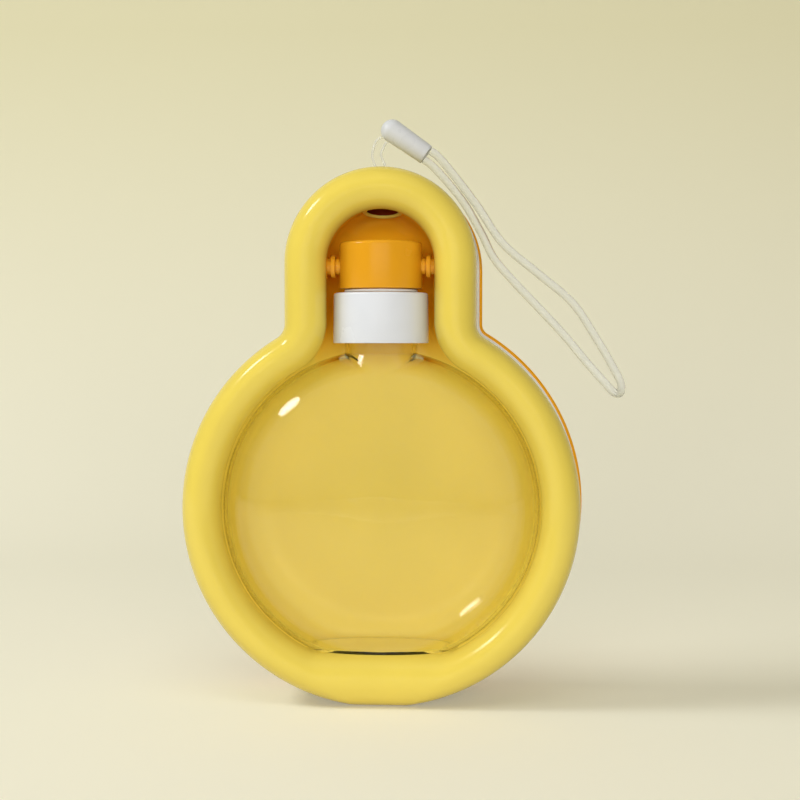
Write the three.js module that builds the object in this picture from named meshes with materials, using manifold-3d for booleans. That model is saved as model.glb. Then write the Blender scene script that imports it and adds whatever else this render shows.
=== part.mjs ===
// Folding pet water bottle: a clear disc shaped bottle hangs by its cap in a keyhole shaped drinking bowl
// and swings out of it. Millimetres, +Z up, the front faces -Y. The origin is under the object's middle.
import * as THREE from "three";
import { mergeVertices } from "three/addons/utils/BufferGeometryUtils.js";
import Module from "manifold-3d";

const wasm = await Module();
wasm.setup();

// Fits
const GAP = 0.3; // between pieces that seat on each other
const BOTTLE_GAP = 0.6; // bottle to the bowl's opening
const FLOOR_GAP = 1.5; // bottle's back to the bowl's floor
const SHELF_GAP = 1.2; // bottle's flat base to the opening's flat bottom, room for its swing
const COLLAR_SIDE_GAP = 2.2; // collar to the roll at the sides of the arch
const NECK_GAP = 0.5; // neck to the collar, room for the thread
const BEAD_GAP = 1; // lanyard bead in its eyelet

// Bowl shell: round bowl below, arch above, rolled rim all round
const WALL = 2.2;
const BOWL_R = 73;
const ARCH_R = 35;
const CORNER_R = 6; // inside corner between bowl and arch
const RIM_WIDTH = 14.1; // roll round the bowl
const ARCH_RIM_WIDTH = 15.3; // roll round the arch, a little fuller
const RIM_RISE = 9; // crest of the roll over its sides
const ROLL_BACK = 6; // the roll curls back behind its inner edge
const UNDERCUT = 1.6; // bowl's side outside the roll's inner edge
const SKIRT = 26.5; // side of the shell, from the roll to the seam
const FOOT_CUT = 0.6; // flat foot cut into the round bowl
const FLOOR_FILLET_R = 16;
const WALL_DRAFT = 0.5;

// Rear cover and the seal in the seam
const COVER_STEP = 2; // the cover stands out of the shell by this much
const COVER_EDGE_R = 13;
const BACK_GAP = 4.1; // hollow between the bowl's floor and the cover
const TONGUE_WALL = 1.6;
const TONGUE_LENGTH = 3;
const SEAL_STEP = 0.9;
const SEAL_THICKNESS = 0.7;

// Bottle
const BOTTLE_HALF = 26.5; // half of its thickness
const BOTTLE_WALL = 1.6;
const BOTTLE_FULLNESS = 2.3; // exponent of the domed section, 2 is an ellipse
const BASE_HALF = 26; // half of the flat base's width
const NECK_WALL = 1.8;
const NECK_SHOW = 2.2; // bare neck between bottle and collar
const SHOULDER_DROP = 20; // cone that leads from the domed faces up to the neck
const SHOULDER_R = 21.2;
const SHOULDER_INSET = 1.6; // neck's foot below the top of the disc

// Collar, cap and the pieces between them
const COLLAR_HEIGHT = 18.4;
const COLLAR_WALL = 3.6;
const COLLAR_FLANGE = 2.4;
const COLLAR_EDGE_R = 0.9;
const SWIVEL_THICKNESS = 0.8;
const CAP_INSET = 2.3; // the cap is this much slimmer than the collar
const CAP_BELOW = 8.3; // cap below the pivot axis
const CAP_ABOVE = 8.9;
const CAP_EDGE_R = 1.4;
const SPIGOT_INSET = 1.9; // spigot under the cap, slimmer than the neck
const SPIGOT_WALL = 2.8;
const OUTLET_R = 5.5;
const RETAINER_FLANGE = 1.7;
const RETAINER_SLEEVE = 4.4;
const RETAINER_WALL = 2.4;
const VALVE_THICKNESS = 2;
const VALVE_SKIN = 0.9;
const VALVE_RISE = 2.6;
const GASKET_THICKNESS = 1;

// Pivot
const PIVOT_SETBACK = 4.5; // axis behind the sides of the roll
const ARCH_RISE = 1; // centre of the arch over the axis
const PIN_R = 3;
const PIN_SEAT = 5; // length of pin inside the cap
const PIN_REACH = 1; // pin beyond the arch wall
const WASHER_R = 4.1;
const WASHER_THICKNESS = 1.6;
const BUSH_WALL = 1.2;
const BUSH_END = 1.5;
const BUSH_FLANGE = 1.4;

// Lanyard and its eyelet
const EYELET_BORE_R = 5.9;
const EYELET_WALL = 1.1;
const EYELET_LIP = 0.6; // lip round the sleeve
const EYELET_LIP_DROP = 0.8; // middle of the lip below the roll's inner edge
const EYELET_LIP_TILT = 9; // degrees, the lip hangs lower at the back
const EYELET_PLATE = 1.7;
const EYELET_NECK_R = 4.6;
const EYELET_NECK_BORE_R = 3;
const EYELET_DEPTH = 9.3; // from the ceiling to the plate that stops the bead
const EYELET_SETBACK = 4.3; // eyelet in front of the cover's tongue
const BEAD_HEIGHT = 3.6;
const STRING_D = 1;
const STRING_SPACING = 4.1;
const LOOP_D = 3;
const LOOP_SPACING = 4;
const SLEEVE_D = 8.5; // at its round end
const SLEEVE_END_D = 7.6;
const SLEEVE_EDGE = 0.6;
const SLEEVE_LENGTH = 15.6; // from the centre of its round end to its flat end
const SLEEVE_SLOPE = 35; // degrees below level
const SLEEVE_X = 3.6; // centre of its round end
const SLEEVE_RISE = 14.6; // the same over the top of the arch

// Places worked out from the sizes
const DEPTH = 2 * BOTTLE_HALF + FLOOR_GAP + 2 * WALL + BACK_GAP;
const AXIS_Y = BOTTLE_HALF - DEPTH / 2;
const ROLL_Y = AXIS_Y - PIVOT_SETBACK;
const SEAM_Y = ROLL_Y + SKIRT;
const FLOOR_Y = AXIS_Y + BOTTLE_HALF + FLOOR_GAP;
const BACK_Y = DEPTH / 2;
const COVER_Y = SEAM_Y + SEAL_THICKNESS + 2 * GAP;

const OPENING_R = BOWL_R - RIM_WIDTH;
const ARCH_FULLNESS = ARCH_RIM_WIDTH / RIM_WIDTH;
const RECESS_R = ARCH_R - ARCH_RIM_WIDTH;
const SIDE_INSET = RIM_WIDTH - UNDERCUT;
const RECESS_SIDE_R = ARCH_R - SIDE_INSET * ARCH_FULLNESS;
const FILLET_INSET = SIDE_INSET + WALL_DRAFT + FLOOR_FILLET_R; // centre of the fillet at the floor
const BOTTLE_R = OPENING_R - BOTTLE_GAP;
const BOWL_Z = BOWL_R - FOOT_CUT;
const BASE_Z = BOWL_Z - Math.sqrt(BOTTLE_R ** 2 - BASE_HALF ** 2);
const SHELF_Z = BASE_Z - SHELF_GAP; // the opening is flat at the bottom, as the bottle is
const COLLAR_BOTTOM = BOWL_Z + BOTTLE_R + NECK_SHOW;
const COLLAR_TOP = COLLAR_BOTTOM + COLLAR_HEIGHT;
const CAP_BOTTOM = COLLAR_TOP + SWIVEL_THICKNESS + 2 * GAP;
const AXIS_Z = CAP_BOTTOM + CAP_BELOW;
const CAP_TOP = AXIS_Z + CAP_ABOVE;
const ARCH_Z = AXIS_Z + ARCH_RISE;
const TOP_Z = ARCH_Z + ARCH_R;

const COLLAR_R = RECESS_R - COLLAR_SIDE_GAP;
const COLLAR_BORE_R = COLLAR_R - COLLAR_WALL;
const NECK_R = COLLAR_BORE_R - NECK_GAP;
const NECK_BORE_R = NECK_R - NECK_WALL;
const CAP_R = COLLAR_R - CAP_INSET;
const SPIGOT_R = NECK_R - SPIGOT_INSET;
const SPIGOT_BORE_R = SPIGOT_R - SPIGOT_WALL;
const SPIGOT_BOTTOM = COLLAR_TOP - COLLAR_FLANGE;
const RETAINER_TOP = SPIGOT_BOTTOM - GAP;
const RETAINER_BOTTOM = RETAINER_TOP - RETAINER_FLANGE;
const SLEEVE_TOP = RETAINER_TOP + RETAINER_SLEEVE;
const VALVE_BOTTOM = SLEEVE_TOP + GAP;
const VALVE_TOP = VALVE_BOTTOM + VALVE_THICKNESS;
const GASKET_TOP = RETAINER_BOTTOM - GAP;
const NECK_TOP = GASKET_TOP - GASKET_THICKNESS - GAP;

const EYELET_R = EYELET_BORE_R + EYELET_WALL;
const EYELET_Y = COVER_Y - TONGUE_LENGTH - EYELET_R - EYELET_SETBACK;
const PLATE_BOTTOM = ARCH_Z + RECESS_R + EYELET_DEPTH;
const EYELET_LOW = ARCH_Z + RECESS_R - EYELET_R; // under the whole of its mouth
const BEAD_TOP = PLATE_BOTTOM - GAP;
const BEAD_BOTTOM = BEAD_TOP - BEAD_HEIGHT;

// Facets
const ROUND = 26;
const SMALL_ROUND = 18;
const CUT = 5; // cutting tools reach this far past what they cut

// Outlines and profiles

function arc(x, y, radius, from, to, steps) {
  const points = [];
  for (let i = 0; i <= steps; i++) {
    const angle = THREE.MathUtils.degToRad(from + ((to - from) * i) / steps);
    points.push([x + radius * Math.cos(angle), y + radius * Math.sin(angle)]);
  }
  return points;
}

// An arc of the outline with its normals. Their length goes from one fullness of the roll to another.
function outlineArc(x, z, radius, from, to, steps, fullness) {
  const [first, last] = fullness;
  return arc(0, 0, 1, from, to, steps).map(([c, s], i) => {
    const outward = THREE.MathUtils.lerp(first, last, i / steps);
    return {
      point: new THREE.Vector2(x + radius * c, z + radius * s),
      normal: new THREE.Vector2(outward * c, outward * s),
    };
  });
}

// The keyhole outline, a step outside the shell's own, with its normals. Its arch keeps the same top.
function keyhole(step) {
  const bowlR = BOWL_R + step;
  const archR = ARCH_R + step;
  const cornerR = CORNER_R - step;
  const cornerX = archR + cornerR;
  const cornerRise = Math.sqrt((bowlR + cornerR) ** 2 - cornerX ** 2);
  const cornerZ = BOWL_Z + cornerRise;
  const lean = THREE.MathUtils.radToDeg(Math.atan2(cornerRise, cornerX));
  const full = ARCH_FULLNESS;
  return [
    ...outlineArc(0, BOWL_Z, bowlR, lean, -180 - lean, 42, [1, 1]),
    ...outlineArc(-cornerX, cornerZ, cornerR, -lean, 0, 4, [-1, -full]).slice(1),
    ...outlineArc(0, ARCH_Z - step, archR, 180, 0, 16, [full, full]),
    ...outlineArc(cornerX, cornerZ, cornerR, 180, 180 + lean, 4, [-full, -1]).slice(0, -1),
  ];
}

// Solids

function signedVolume(vertices, triangles) {
  const [a, b, c] = [new THREE.Vector3(), new THREE.Vector3(), new THREE.Vector3()];
  let sum = 0;
  for (let i = 0; i < triangles.length; i += 3) {
    a.fromArray(vertices, 3 * triangles[i]);
    b.fromArray(vertices, 3 * triangles[i + 1]);
    c.fromArray(vertices, 3 * triangles[i + 2]);
    sum += a.dot(b.cross(c)) / 6;
  }
  return sum;
}

// A closed geometry as a solid for joining and cutting, its faces turned outwards.
function solid(geometry) {
  const bare = geometry.clone();
  bare.deleteAttribute("normal");
  bare.deleteAttribute("uv");
  const merged = mergeVertices(bare, 1e-4);
  const vertices = merged.attributes.position.array;
  const triangles = [];
  const index = merged.index.array;
  for (let i = 0; i < index.length; i += 3) {
    const [a, b, c] = index.slice(i, i + 3);
    if (a !== b && b !== c && c !== a) triangles.push(a, b, c);
  }
  if (signedVolume(vertices, triangles) < 0) triangles.reverse();
  const triVerts = new Uint32Array(triangles);
  return new wasm.Manifold(new wasm.Mesh({ numProp: 3, vertProperties: vertices, triVerts }));
}

function geometryOf(shape) {
  const { vertProperties, triVerts } = shape.getMesh();
  const geometry = new THREE.BufferGeometry();
  geometry.setAttribute("position", new THREE.BufferAttribute(new Float32Array(vertProperties), 3));
  geometry.setIndex(new THREE.BufferAttribute(new Uint32Array(triVerts), 1));
  return geometry;
}

// A closed [radius, height] profile turned about Z.
function revolve(profile, segments = ROUND) {
  const points = [...profile, profile[0]].map(([r, h]) => new THREE.Vector2(r, h));
  return new THREE.LatheGeometry(points, segments).rotateX(Math.PI / 2);
}

function cylinder(radius, from, to, segments = ROUND) {
  return revolve([[0, from], [radius, from], [radius, to], [0, to]], segments);
}

const ontoX = (geometry) => geometry.rotateY(Math.PI / 2);

// Rings of [inset, depth, lowest z] along an outline. They close on themselves, or are capped at both ends.
function loft(outline, rings, capped) {
  const size = outline.length;
  const positions = rings.flatMap(([inset, y, foot]) =>
    outline.flatMap(({ point, normal }) => {
      const z = point.y - normal.y * inset;
      return [point.x - normal.x * inset, y, Math.max(z, foot)];
    }),
  );
  const faces = [];
  const spans = capped ? rings.length - 1 : rings.length;
  for (let i = 0; i < spans; i++) {
    const next = (i + 1) % rings.length;
    for (let j = 0; j < size; j++) {
      const k = (j + 1) % size;
      faces.push(i * size + j, i * size + k, next * size + k);
      faces.push(i * size + j, next * size + k, next * size + j);
    }
  }
  if (capped) {
    faces.push(...cap(outline, rings, 0, true));
    faces.push(...cap(outline, rings, rings.length - 1, false));
  }
  const geometry = new THREE.BufferGeometry();
  geometry.setAttribute("position", new THREE.Float32BufferAttribute(positions, 3));
  geometry.setIndex(faces);
  return geometry;
}

function cap(outline, rings, ring, reversed) {
  const inset = rings[ring][0];
  const contour = outline.map(({ point, normal }) => point.clone().addScaledVector(normal, -inset));
  const clockwise = THREE.ShapeUtils.isClockWise(contour);
  const first = ring * outline.length;
  return THREE.ShapeUtils.triangulateShape(contour, []).flatMap((corners) => {
    const same = THREE.ShapeUtils.isClockWise(corners.map((i) => contour[i])) === clockwise;
    const turned = same !== reversed ? corners : [...corners].reverse();
    return turned.map((i) => first + i);
  });
}

// A round tube through points, cut square at its ends.
function tube(points, diameter, steps) {
  const section = new THREE.Shape().setFromPoints(
    arc(0, 0, diameter / 2, 0, 315, 7).map(([x, y]) => new THREE.Vector2(x, y)),
  );
  const extrudePath = new THREE.CatmullRomCurve3(points, false, "centripetal");
  return new THREE.ExtrudeGeometry(section, { steps, bevelEnabled: false, extrudePath });
}

function piece(name, shape, look) {
  const material = new THREE.MeshStandardMaterial(look);
  const mesh = new THREE.Mesh(geometryOf(shape), material);
  mesh.name = name;
  return mesh;
}

// Looks
const YELLOW = { color: 0xe8cf5c, roughness: 0.35, metalness: 0 };
const AMBER = { color: 0xdfa532, roughness: 0.4, metalness: 0 };
const ORANGE = { color: 0xde9e22, roughness: 0.4, metalness: 0 };
const WHITE = { color: 0xdadad8, roughness: 0.35, metalness: 0 };
const RUBBER = { color: 0xd8dde2, roughness: 0.6, metalness: 0 };
const CLEAR = { color: 0xf4f4f0, roughness: 0.05, metalness: 0, transparent: true, opacity: 0.3 };
const MILKY = { color: 0xded9d2, roughness: 0.3, metalness: 0, transparent: true, opacity: 0.8 };

// Bowl

// Where the bowl's side runs round into its floor.
function floorFillet(radius, from, to, steps, foot) {
  return arc(FILLET_INSET, FLOOR_Y - FLOOR_FILLET_R, radius, from, to, steps).map((p) => [...p, foot]);
}

// The rolled rim from its outer to its inner edge, as a skin below the outside. At the bottom it is broader.
function roll(thickness, from, to, steps) {
  const middle = RIM_WIDTH / 2;
  const low = SHELF_Z / 2;
  return arc(0, 0, 1, from, to, steps).map(([c, s]) => [
    middle + (middle - thickness) * c,
    ROLL_Y - (RIM_RISE - thickness) * s,
    low + (low - thickness) * c,
  ]);
}

// Behind its inner edge the roll curls back to the bowl's side.
function curl(from, to) {
  const quarter = arc(0, 0, 1, from, to, 3);
  return quarter.map(([c, s]) => [SIDE_INSET + UNDERCUT * c, ROLL_Y + ROLL_BACK * s, SHELF_Z]);
}

function bowlShell() {
  const rings = [
    ...floorFillet(FLOOR_FILLET_R, 90, 180, 5, SHELF_Z),
    ...curl(90, 0),
    ...roll(0, 0, 180, 9).slice(1),
    [0, SEAM_Y, 0],
    [WALL, SEAM_Y, WALL],
    ...roll(WALL, 180, 0, 4),
    [SIDE_INSET - WALL, ROLL_Y + ROLL_BACK, SHELF_Z - WALL],
    ...floorFillet(FLOOR_FILLET_R + WALL, 180, 90, 3, SHELF_Z - WALL),
  ];
  const bushHole = ontoX(cylinder(BUSH_R + GAP, RECESS_R - CUT, BUSH_FLANGE_X, SMALL_ROUND));
  bushHole.translate(0, AXIS_Y, AXIS_Z);
  const otherBushHole = bushHole.clone().scale(-1, 1, 1);
  const sleeveHole = cylinder(EYELET_R + GAP, EYELET_LOW, PLATE_BOTTOM, SMALL_ROUND);
  const neckHole = cylinder(EYELET_NECK_R + GAP, EYELET_LOW, TOP_Z + CUT, SMALL_ROUND);
  return solid(loft(keyhole(0), rings, true))
    .subtract(solid(bushHole))
    .subtract(solid(otherBushHole))
    .subtract(solid(sleeveHole.translate(0, EYELET_Y, 0)))
    .subtract(solid(neckHole.translate(0, EYELET_Y, 0)));
}

// The hollow of the bowl behind its roll, drawn in all round by a gap.
function bowlHollow(gap) {
  const rings = [
    [RIM_WIDTH + gap, ROLL_Y, SHELF_Z + gap],
    [SIDE_INSET + gap, ROLL_Y + ROLL_BACK, SHELF_Z + gap],
    ...floorFillet(FLOOR_FILLET_R - gap, 180, 90, 5, SHELF_Z + gap),
  ];
  return solid(loft(keyhole(0), rings, true));
}

function rearCover() {
  const edgeR = Math.min(COVER_EDGE_R, BACK_Y - COVER_Y - WALL);
  const edge = (radius, from, to, steps, foot) =>
    arc(edgeR, BACK_Y - edgeR, radius, from, to, steps).map((p) => [...p, foot]);
  const tongueO = COVER_STEP + WALL + GAP;
  const tongueFoot = WALL + GAP;
  const tongueTip = COVER_Y - TONGUE_LENGTH;
  const rings = [
    ...edge(edgeR, 90, 180, 4, 0),
    [0, COVER_Y, 0],
    [tongueO, COVER_Y, tongueFoot],
    [tongueO, tongueTip, tongueFoot],
    [tongueO + TONGUE_WALL, tongueTip, tongueFoot + TONGUE_WALL],
    [tongueO + TONGUE_WALL, COVER_Y + WALL, tongueFoot + TONGUE_WALL],
    ...edge(edgeR - WALL, 180, 90, 3, WALL),
  ];
  return solid(loft(keyhole(COVER_STEP), rings, true));
}

function seamSeal() {
  const front = SEAM_Y + GAP;
  const inner = SEAL_STEP + WALL;
  const rings = [
    [0, front, GAP],
    [0, front + SEAL_THICKNESS, GAP],
    [inner, front + SEAL_THICKNESS, WALL],
    [inner, front, WALL],
  ];
  return solid(loft(keyhole(SEAL_STEP), rings, false));
}

// The eyelet's lip fills the room up to the ceiling of the recess. Its flat rim hangs lower at the back.
function cordEyelet() {
  const upright = (radius, from, to) =>
    solid(cylinder(radius, from, to, SMALL_ROUND).translate(0, EYELET_Y, 0));
  const lip = upright(EYELET_R + EYELET_LIP, EYELET_LOW, PLATE_BOTTOM).intersect(bowlHollow(GAP));
  const sleeve = upright(EYELET_R, EYELET_LOW, PLATE_BOTTOM + EYELET_PLATE);
  const neck = upright(EYELET_NECK_R, PLATE_BOTTOM, TOP_Z - GAP);
  const size = 4 * EYELET_R;
  const below = new THREE.BoxGeometry(size, size, size).translate(0, 0, -size / 2);
  below.rotateX(-THREE.MathUtils.degToRad(EYELET_LIP_TILT));
  below.translate(0, EYELET_Y, ARCH_Z + RECESS_R - EYELET_LIP_DROP);
  return lip
    .add(sleeve)
    .subtract(solid(below))
    .add(neck)
    .subtract(upright(EYELET_BORE_R, EYELET_LOW - CUT, PLATE_BOTTOM))
    .subtract(upright(EYELET_NECK_BORE_R, PLATE_BOTTOM - CUT, TOP_Z + CUT));
}

// Bottle

function domedDisc(radius, half, base, segments, steps) {
  const power = 2 / BOTTLE_FULLNESS;
  const profile = arc(0, 0, 1, -90, 90, steps).map(
    ([c, s]) => new THREE.Vector2(radius * Math.abs(c) ** power, half * Math.sign(s) * Math.abs(s) ** power),
  );
  profile[0].x = 0;
  profile[steps].x = 0;
  const disc = new THREE.LatheGeometry(profile, segments).translate(0, AXIS_Y, BOWL_Z);
  const size = 2 * radius + CUT;
  const below = new THREE.BoxGeometry(size, size, size).translate(0, AXIS_Y, base - size / 2);
  return solid(disc).subtract(solid(below));
}

// The neck with the cone under it, which runs out into the domed faces.
function neckForm(radius, coneR, top) {
  const foot = BOWL_Z + BOTTLE_R - SHOULDER_INSET;
  const root = foot - SHOULDER_DROP;
  const form = revolve([[0, root], [coneR, root], [radius, foot], [radius, top], [0, top]]);
  return solid(form.translate(0, AXIS_Y, 0));
}

function bottle() {
  const innerR = BOTTLE_R - BOTTLE_WALL;
  const innerHalf = BOTTLE_HALF - BOTTLE_WALL;
  const outside = domedDisc(BOTTLE_R, BOTTLE_HALF, BASE_Z, 44, 14);
  const inside = domedDisc(innerR, innerHalf, BASE_Z + BOTTLE_WALL, 34, 12);
  const neck = neckForm(NECK_R, SHOULDER_R, NECK_TOP);
  const bore = neckForm(NECK_BORE_R, SHOULDER_R - NECK_WALL, NECK_TOP + CUT);
  return outside.add(neck).subtract(inside.add(bore));
}

// Pieces on the neck's axis

function screwCollar() {
  const edge = arc(COLLAR_R - COLLAR_EDGE_R, COLLAR_TOP - COLLAR_EDGE_R, COLLAR_EDGE_R, 0, 90, 3);
  return solid(
    revolve([
      [COLLAR_BORE_R, COLLAR_BOTTOM],
      [COLLAR_R, COLLAR_BOTTOM],
      ...edge,
      [SPIGOT_R + GAP, COLLAR_TOP],
      [SPIGOT_R + GAP, SPIGOT_BOTTOM],
      [COLLAR_BORE_R, SPIGOT_BOTTOM],
    ]),
  );
}

function pivotCap() {
  const edge = arc(CAP_R - CAP_EDGE_R, CAP_TOP - CAP_EDGE_R, CAP_EDGE_R, 0, 90, 3);
  const body = revolve([
    [SPIGOT_BORE_R, SPIGOT_BOTTOM],
    [SPIGOT_R, SPIGOT_BOTTOM],
    [SPIGOT_R, CAP_BOTTOM],
    [CAP_R, CAP_BOTTOM],
    ...edge,
    [OUTLET_R, CAP_TOP],
    [OUTLET_R, VALVE_TOP + GAP],
    [SPIGOT_BORE_R, VALVE_TOP + GAP],
  ]);
  const pinHole = ontoX(cylinder(PIN_R + GAP, PIN_START - GAP, CAP_R + CUT, SMALL_ROUND));
  pinHole.translate(0, 0, AXIS_Z);
  const otherPinHole = pinHole.clone().scale(-1, 1, 1);
  return solid(body).subtract(solid(pinHole)).subtract(solid(otherPinHole));
}

function ring(inner, outer, bottom, top) {
  return solid(revolve([[inner, bottom], [outer, bottom], [outer, top], [inner, top]]));
}

function valveRetainer() {
  const sleeveR = SPIGOT_BORE_R - GAP;
  const bore = sleeveR - RETAINER_WALL;
  return solid(
    revolve([
      [bore, RETAINER_BOTTOM],
      [NECK_R, RETAINER_BOTTOM],
      [NECK_R, RETAINER_TOP],
      [sleeveR, RETAINER_TOP],
      [sleeveR, SLEEVE_TOP],
      [bore, SLEEVE_TOP],
    ]),
  );
}

// A soft disc with a thin dome that stands up into the outlet.
function outletValve() {
  const rimR = SPIGOT_BORE_R - GAP;
  const domeR = OUTLET_R - GAP;
  const dome = (radius, bottom, rise) =>
    arc(0, 0, 1, 0, 90, 4).map(([c, s]) => [radius * c, bottom + rise * s]);
  const outer = dome(domeR, VALVE_TOP, VALVE_RISE);
  const inner = dome(domeR - VALVE_SKIN, VALVE_BOTTOM, VALVE_THICKNESS + VALVE_RISE - VALVE_SKIN);
  outer[outer.length - 1][0] = 0;
  inner[inner.length - 1][0] = 0;
  return solid(
    revolve([...inner.reverse(), [rimR, VALVE_BOTTOM], [rimR, VALVE_TOP], ...outer], SMALL_ROUND),
  );
}

// Pivot pieces, made along +X from the pivot axis

const PIN_START = CAP_R - PIN_SEAT;
const ARCH_SKIN_X = RECESS_SIDE_R + WALL * ARCH_FULLNESS;
const PIN_END = ARCH_SKIN_X + PIN_REACH;
const BUSH_R = PIN_R + GAP + BUSH_WALL;
const BUSH_FLANGE_X = ARCH_SKIN_X + GAP;

function pivotPin() {
  return solid(ontoX(cylinder(PIN_R, PIN_START, PIN_END, SMALL_ROUND)));
}

function pivotWasher() {
  const middle = (CAP_R + RECESS_R) / 2;
  const near = middle - WASHER_THICKNESS / 2;
  const far = middle + WASHER_THICKNESS / 2;
  const bore = PIN_R + GAP;
  const profile = [[bore, near], [WASHER_R, near], [WASHER_R, far], [bore, far]];
  return solid(ontoX(revolve(profile, SMALL_ROUND)));
}

// A blind bush whose flange lies behind the wall of the arch.
function pivotBush() {
  const bore = PIN_R + GAP;
  const end = PIN_END + GAP + BUSH_END;
  const flangeR = BUSH_R + BUSH_FLANGE;
  const profile = [
    [bore, RECESS_R],
    [BUSH_R, RECESS_R],
    [BUSH_R, BUSH_FLANGE_X],
    [flangeR, BUSH_FLANGE_X],
    [flangeR, end],
    [0, end],
    [0, end - BUSH_END],
    [bore, end - BUSH_END],
  ];
  return solid(ontoX(revolve(profile, SMALL_ROUND)));
}

function pivotSide(side) {
  const group = new THREE.Group();
  group.position.set(0, AXIS_Y, AXIS_Z);
  group.rotation.z = side === "left" ? Math.PI : 0;
  group.add(piece(side + "_pivot_pin", pivotPin(), ORANGE));
  group.add(piece(side + "_pivot_washer", pivotWasher(), ORANGE));
  group.add(piece(side + "_pivot_bush", pivotBush(), AMBER));
  return group;
}

// Lanyard

const STRING_R = STRING_D / 2;
const STRING_X = STRING_SPACING / 2;
const SLEEVE_R = SLEEVE_D / 2;
const sleeveStart = new THREE.Vector3(SLEEVE_X, EYELET_Y, TOP_Z + SLEEVE_RISE);
const slope = THREE.MathUtils.degToRad(SLEEVE_SLOPE);
const sleeveAlong = new THREE.Vector3(Math.cos(slope), 0, -Math.sin(slope));
const sleeveAcross = new THREE.Vector3(Math.sin(slope), 0, Math.cos(slope));
const sleeveEnd = sleeveStart.clone().addScaledVector(sleeveAlong, SLEEVE_LENGTH);

function lanyardBead() {
  const radius = EYELET_BORE_R - BEAD_GAP;
  const edge = BEAD_HEIGHT / 2;
  const side = arc(radius - edge, BEAD_BOTTOM + edge, edge, -90, 90, 4);
  const body = solid(revolve([[0, BEAD_BOTTOM], ...side, [0, BEAD_TOP]], SMALL_ROUND));
  const hole = cylinder(STRING_R + GAP, BEAD_BOTTOM - CUT, BEAD_TOP + CUT, 8);
  const left = solid(hole.clone().translate(-STRING_X, 0, 0));
  const right = solid(hole.translate(STRING_X, 0, 0));
  return body.subtract(left).subtract(right).translate([0, EYELET_Y, 0]);
}

// The string goes down one hole of the bead and up the other; both ends meet the sleeve's round end.
function lanyardString() {
  const end = (angle) => {
    const way = new THREE.Vector3(Math.cos(angle), 0, Math.sin(angle));
    return [SLEEVE_R + GAP, SLEEVE_R + GAP + 2 * STRING_D].map((far) =>
      sleeveStart.clone().addScaledVector(way, far),
    );
  };
  const [leftEnd, leftOut] = end(THREE.MathUtils.degToRad(211));
  const [rightEnd, rightOut] = end(THREE.MathUtils.degToRad(242));
  const at = (x, z) => new THREE.Vector3(x, EYELET_Y, z);
  const straight = [BEAD_BOTTOM, BEAD_TOP, TOP_Z - 1];
  const points = [
    leftEnd,
    leftOut,
    at(-3.4, TOP_Z + 8.2),
    at(-3.7, TOP_Z + 4.8),
    ...[...straight].reverse().map((z) => at(-STRING_X, z)),
    at(-STRING_X * 0.72, BEAD_BOTTOM - STRING_X * 0.72),
    at(0, BEAD_BOTTOM - STRING_X),
    at(STRING_X * 0.72, BEAD_BOTTOM - STRING_X * 0.72),
    ...straight.map((z) => at(STRING_X, z)),
    at(0.2, TOP_Z + 3.4),
    at(-0.5, TOP_Z + 6),
    rightOut,
    rightEnd,
  ];
  return solid(tube(points, STRING_D, 34));
}

function lanyardSleeve() {
  const end = SLEEVE_LENGTH;
  const endR = SLEEVE_END_D / 2;
  const round = arc(0, 0, SLEEVE_R, -90, 0, 6);
  round[0][0] = 0;
  const profile = [...round, [endR, end - SLEEVE_EDGE], [endR - SLEEVE_EDGE, end], [0, end]];
  const shape = revolve(profile, SMALL_ROUND);
  const facing = new THREE.Quaternion().setFromUnitVectors(new THREE.Vector3(0, 0, 1), sleeveAlong);
  shape.applyQuaternion(facing).translate(sleeveStart.x, sleeveStart.y, sleeveStart.z);
  return solid(shape);
}

// The wrist loop leaves the sleeve's flat end, lies over the arch's shoulder and hangs out to the right.
function lanyardLoop() {
  const leave = (offset, far) =>
    sleeveEnd.clone().addScaledVector(sleeveAcross, offset).addScaledVector(sleeveAlong, far);
  const half = LOOP_SPACING / 2;
  const route = [
    [34.3, 8.2, 185.2],
    [44.6, 8.8, 170.2],
    [58.2, 9.6, 158.6],
    [70.9, 10.4, 147.8],
    [79.4, 11, 135.2],
    [85.4, 11, 125],
    [88.8, 9.4, 118],
    [88.2, 5.2, 114.4],
    [85.6, 1, 114.8],
    [81.6, -0.8, 119],
    [76, -0.6, 125.2],
    [67.6, 0.6, 135.4],
    [58.2, 2, 145.6],
    [48.6, 3.6, 155.8],
    [41.4, 5, 164.4],
    [36.4, 6, 174.4],
    [29.4, 6.8, 186.2],
  ].map((p) => new THREE.Vector3(...p));
  const points = [
    leave(half, GAP),
    leave(half, GAP + LOOP_D),
    ...route,
    leave(-half, GAP + LOOP_D),
    leave(-half, GAP),
  ];
  return solid(tube(points, LOOP_D, 50));
}

// Assembly

const bowl = new THREE.Group();
bowl.add(piece("bowl_shell", bowlShell(), YELLOW));
bowl.add(piece("rear_cover", rearCover(), AMBER));
bowl.add(piece("seam_seal", seamSeal(), RUBBER));
bowl.add(piece("cord_eyelet", cordEyelet(), YELLOW));

const neckAxis = new THREE.Group();
neckAxis.position.y = AXIS_Y;
neckAxis.add(piece("screw_collar", screwCollar(), WHITE));
neckAxis.add(piece("pivot_cap", pivotCap(), ORANGE));
const swivel = ring(SPIGOT_R + GAP, NECK_R, COLLAR_TOP + GAP, CAP_BOTTOM - GAP);
neckAxis.add(piece("swivel_ring", swivel, RUBBER));
const gasket = ring(NECK_BORE_R, NECK_R, GASKET_TOP - GASKET_THICKNESS, GASKET_TOP);
neckAxis.add(piece("neck_gasket", gasket, RUBBER));
neckAxis.add(piece("valve_retainer", valveRetainer(), WHITE));
neckAxis.add(piece("outlet_valve", outletValve(), RUBBER));

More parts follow.
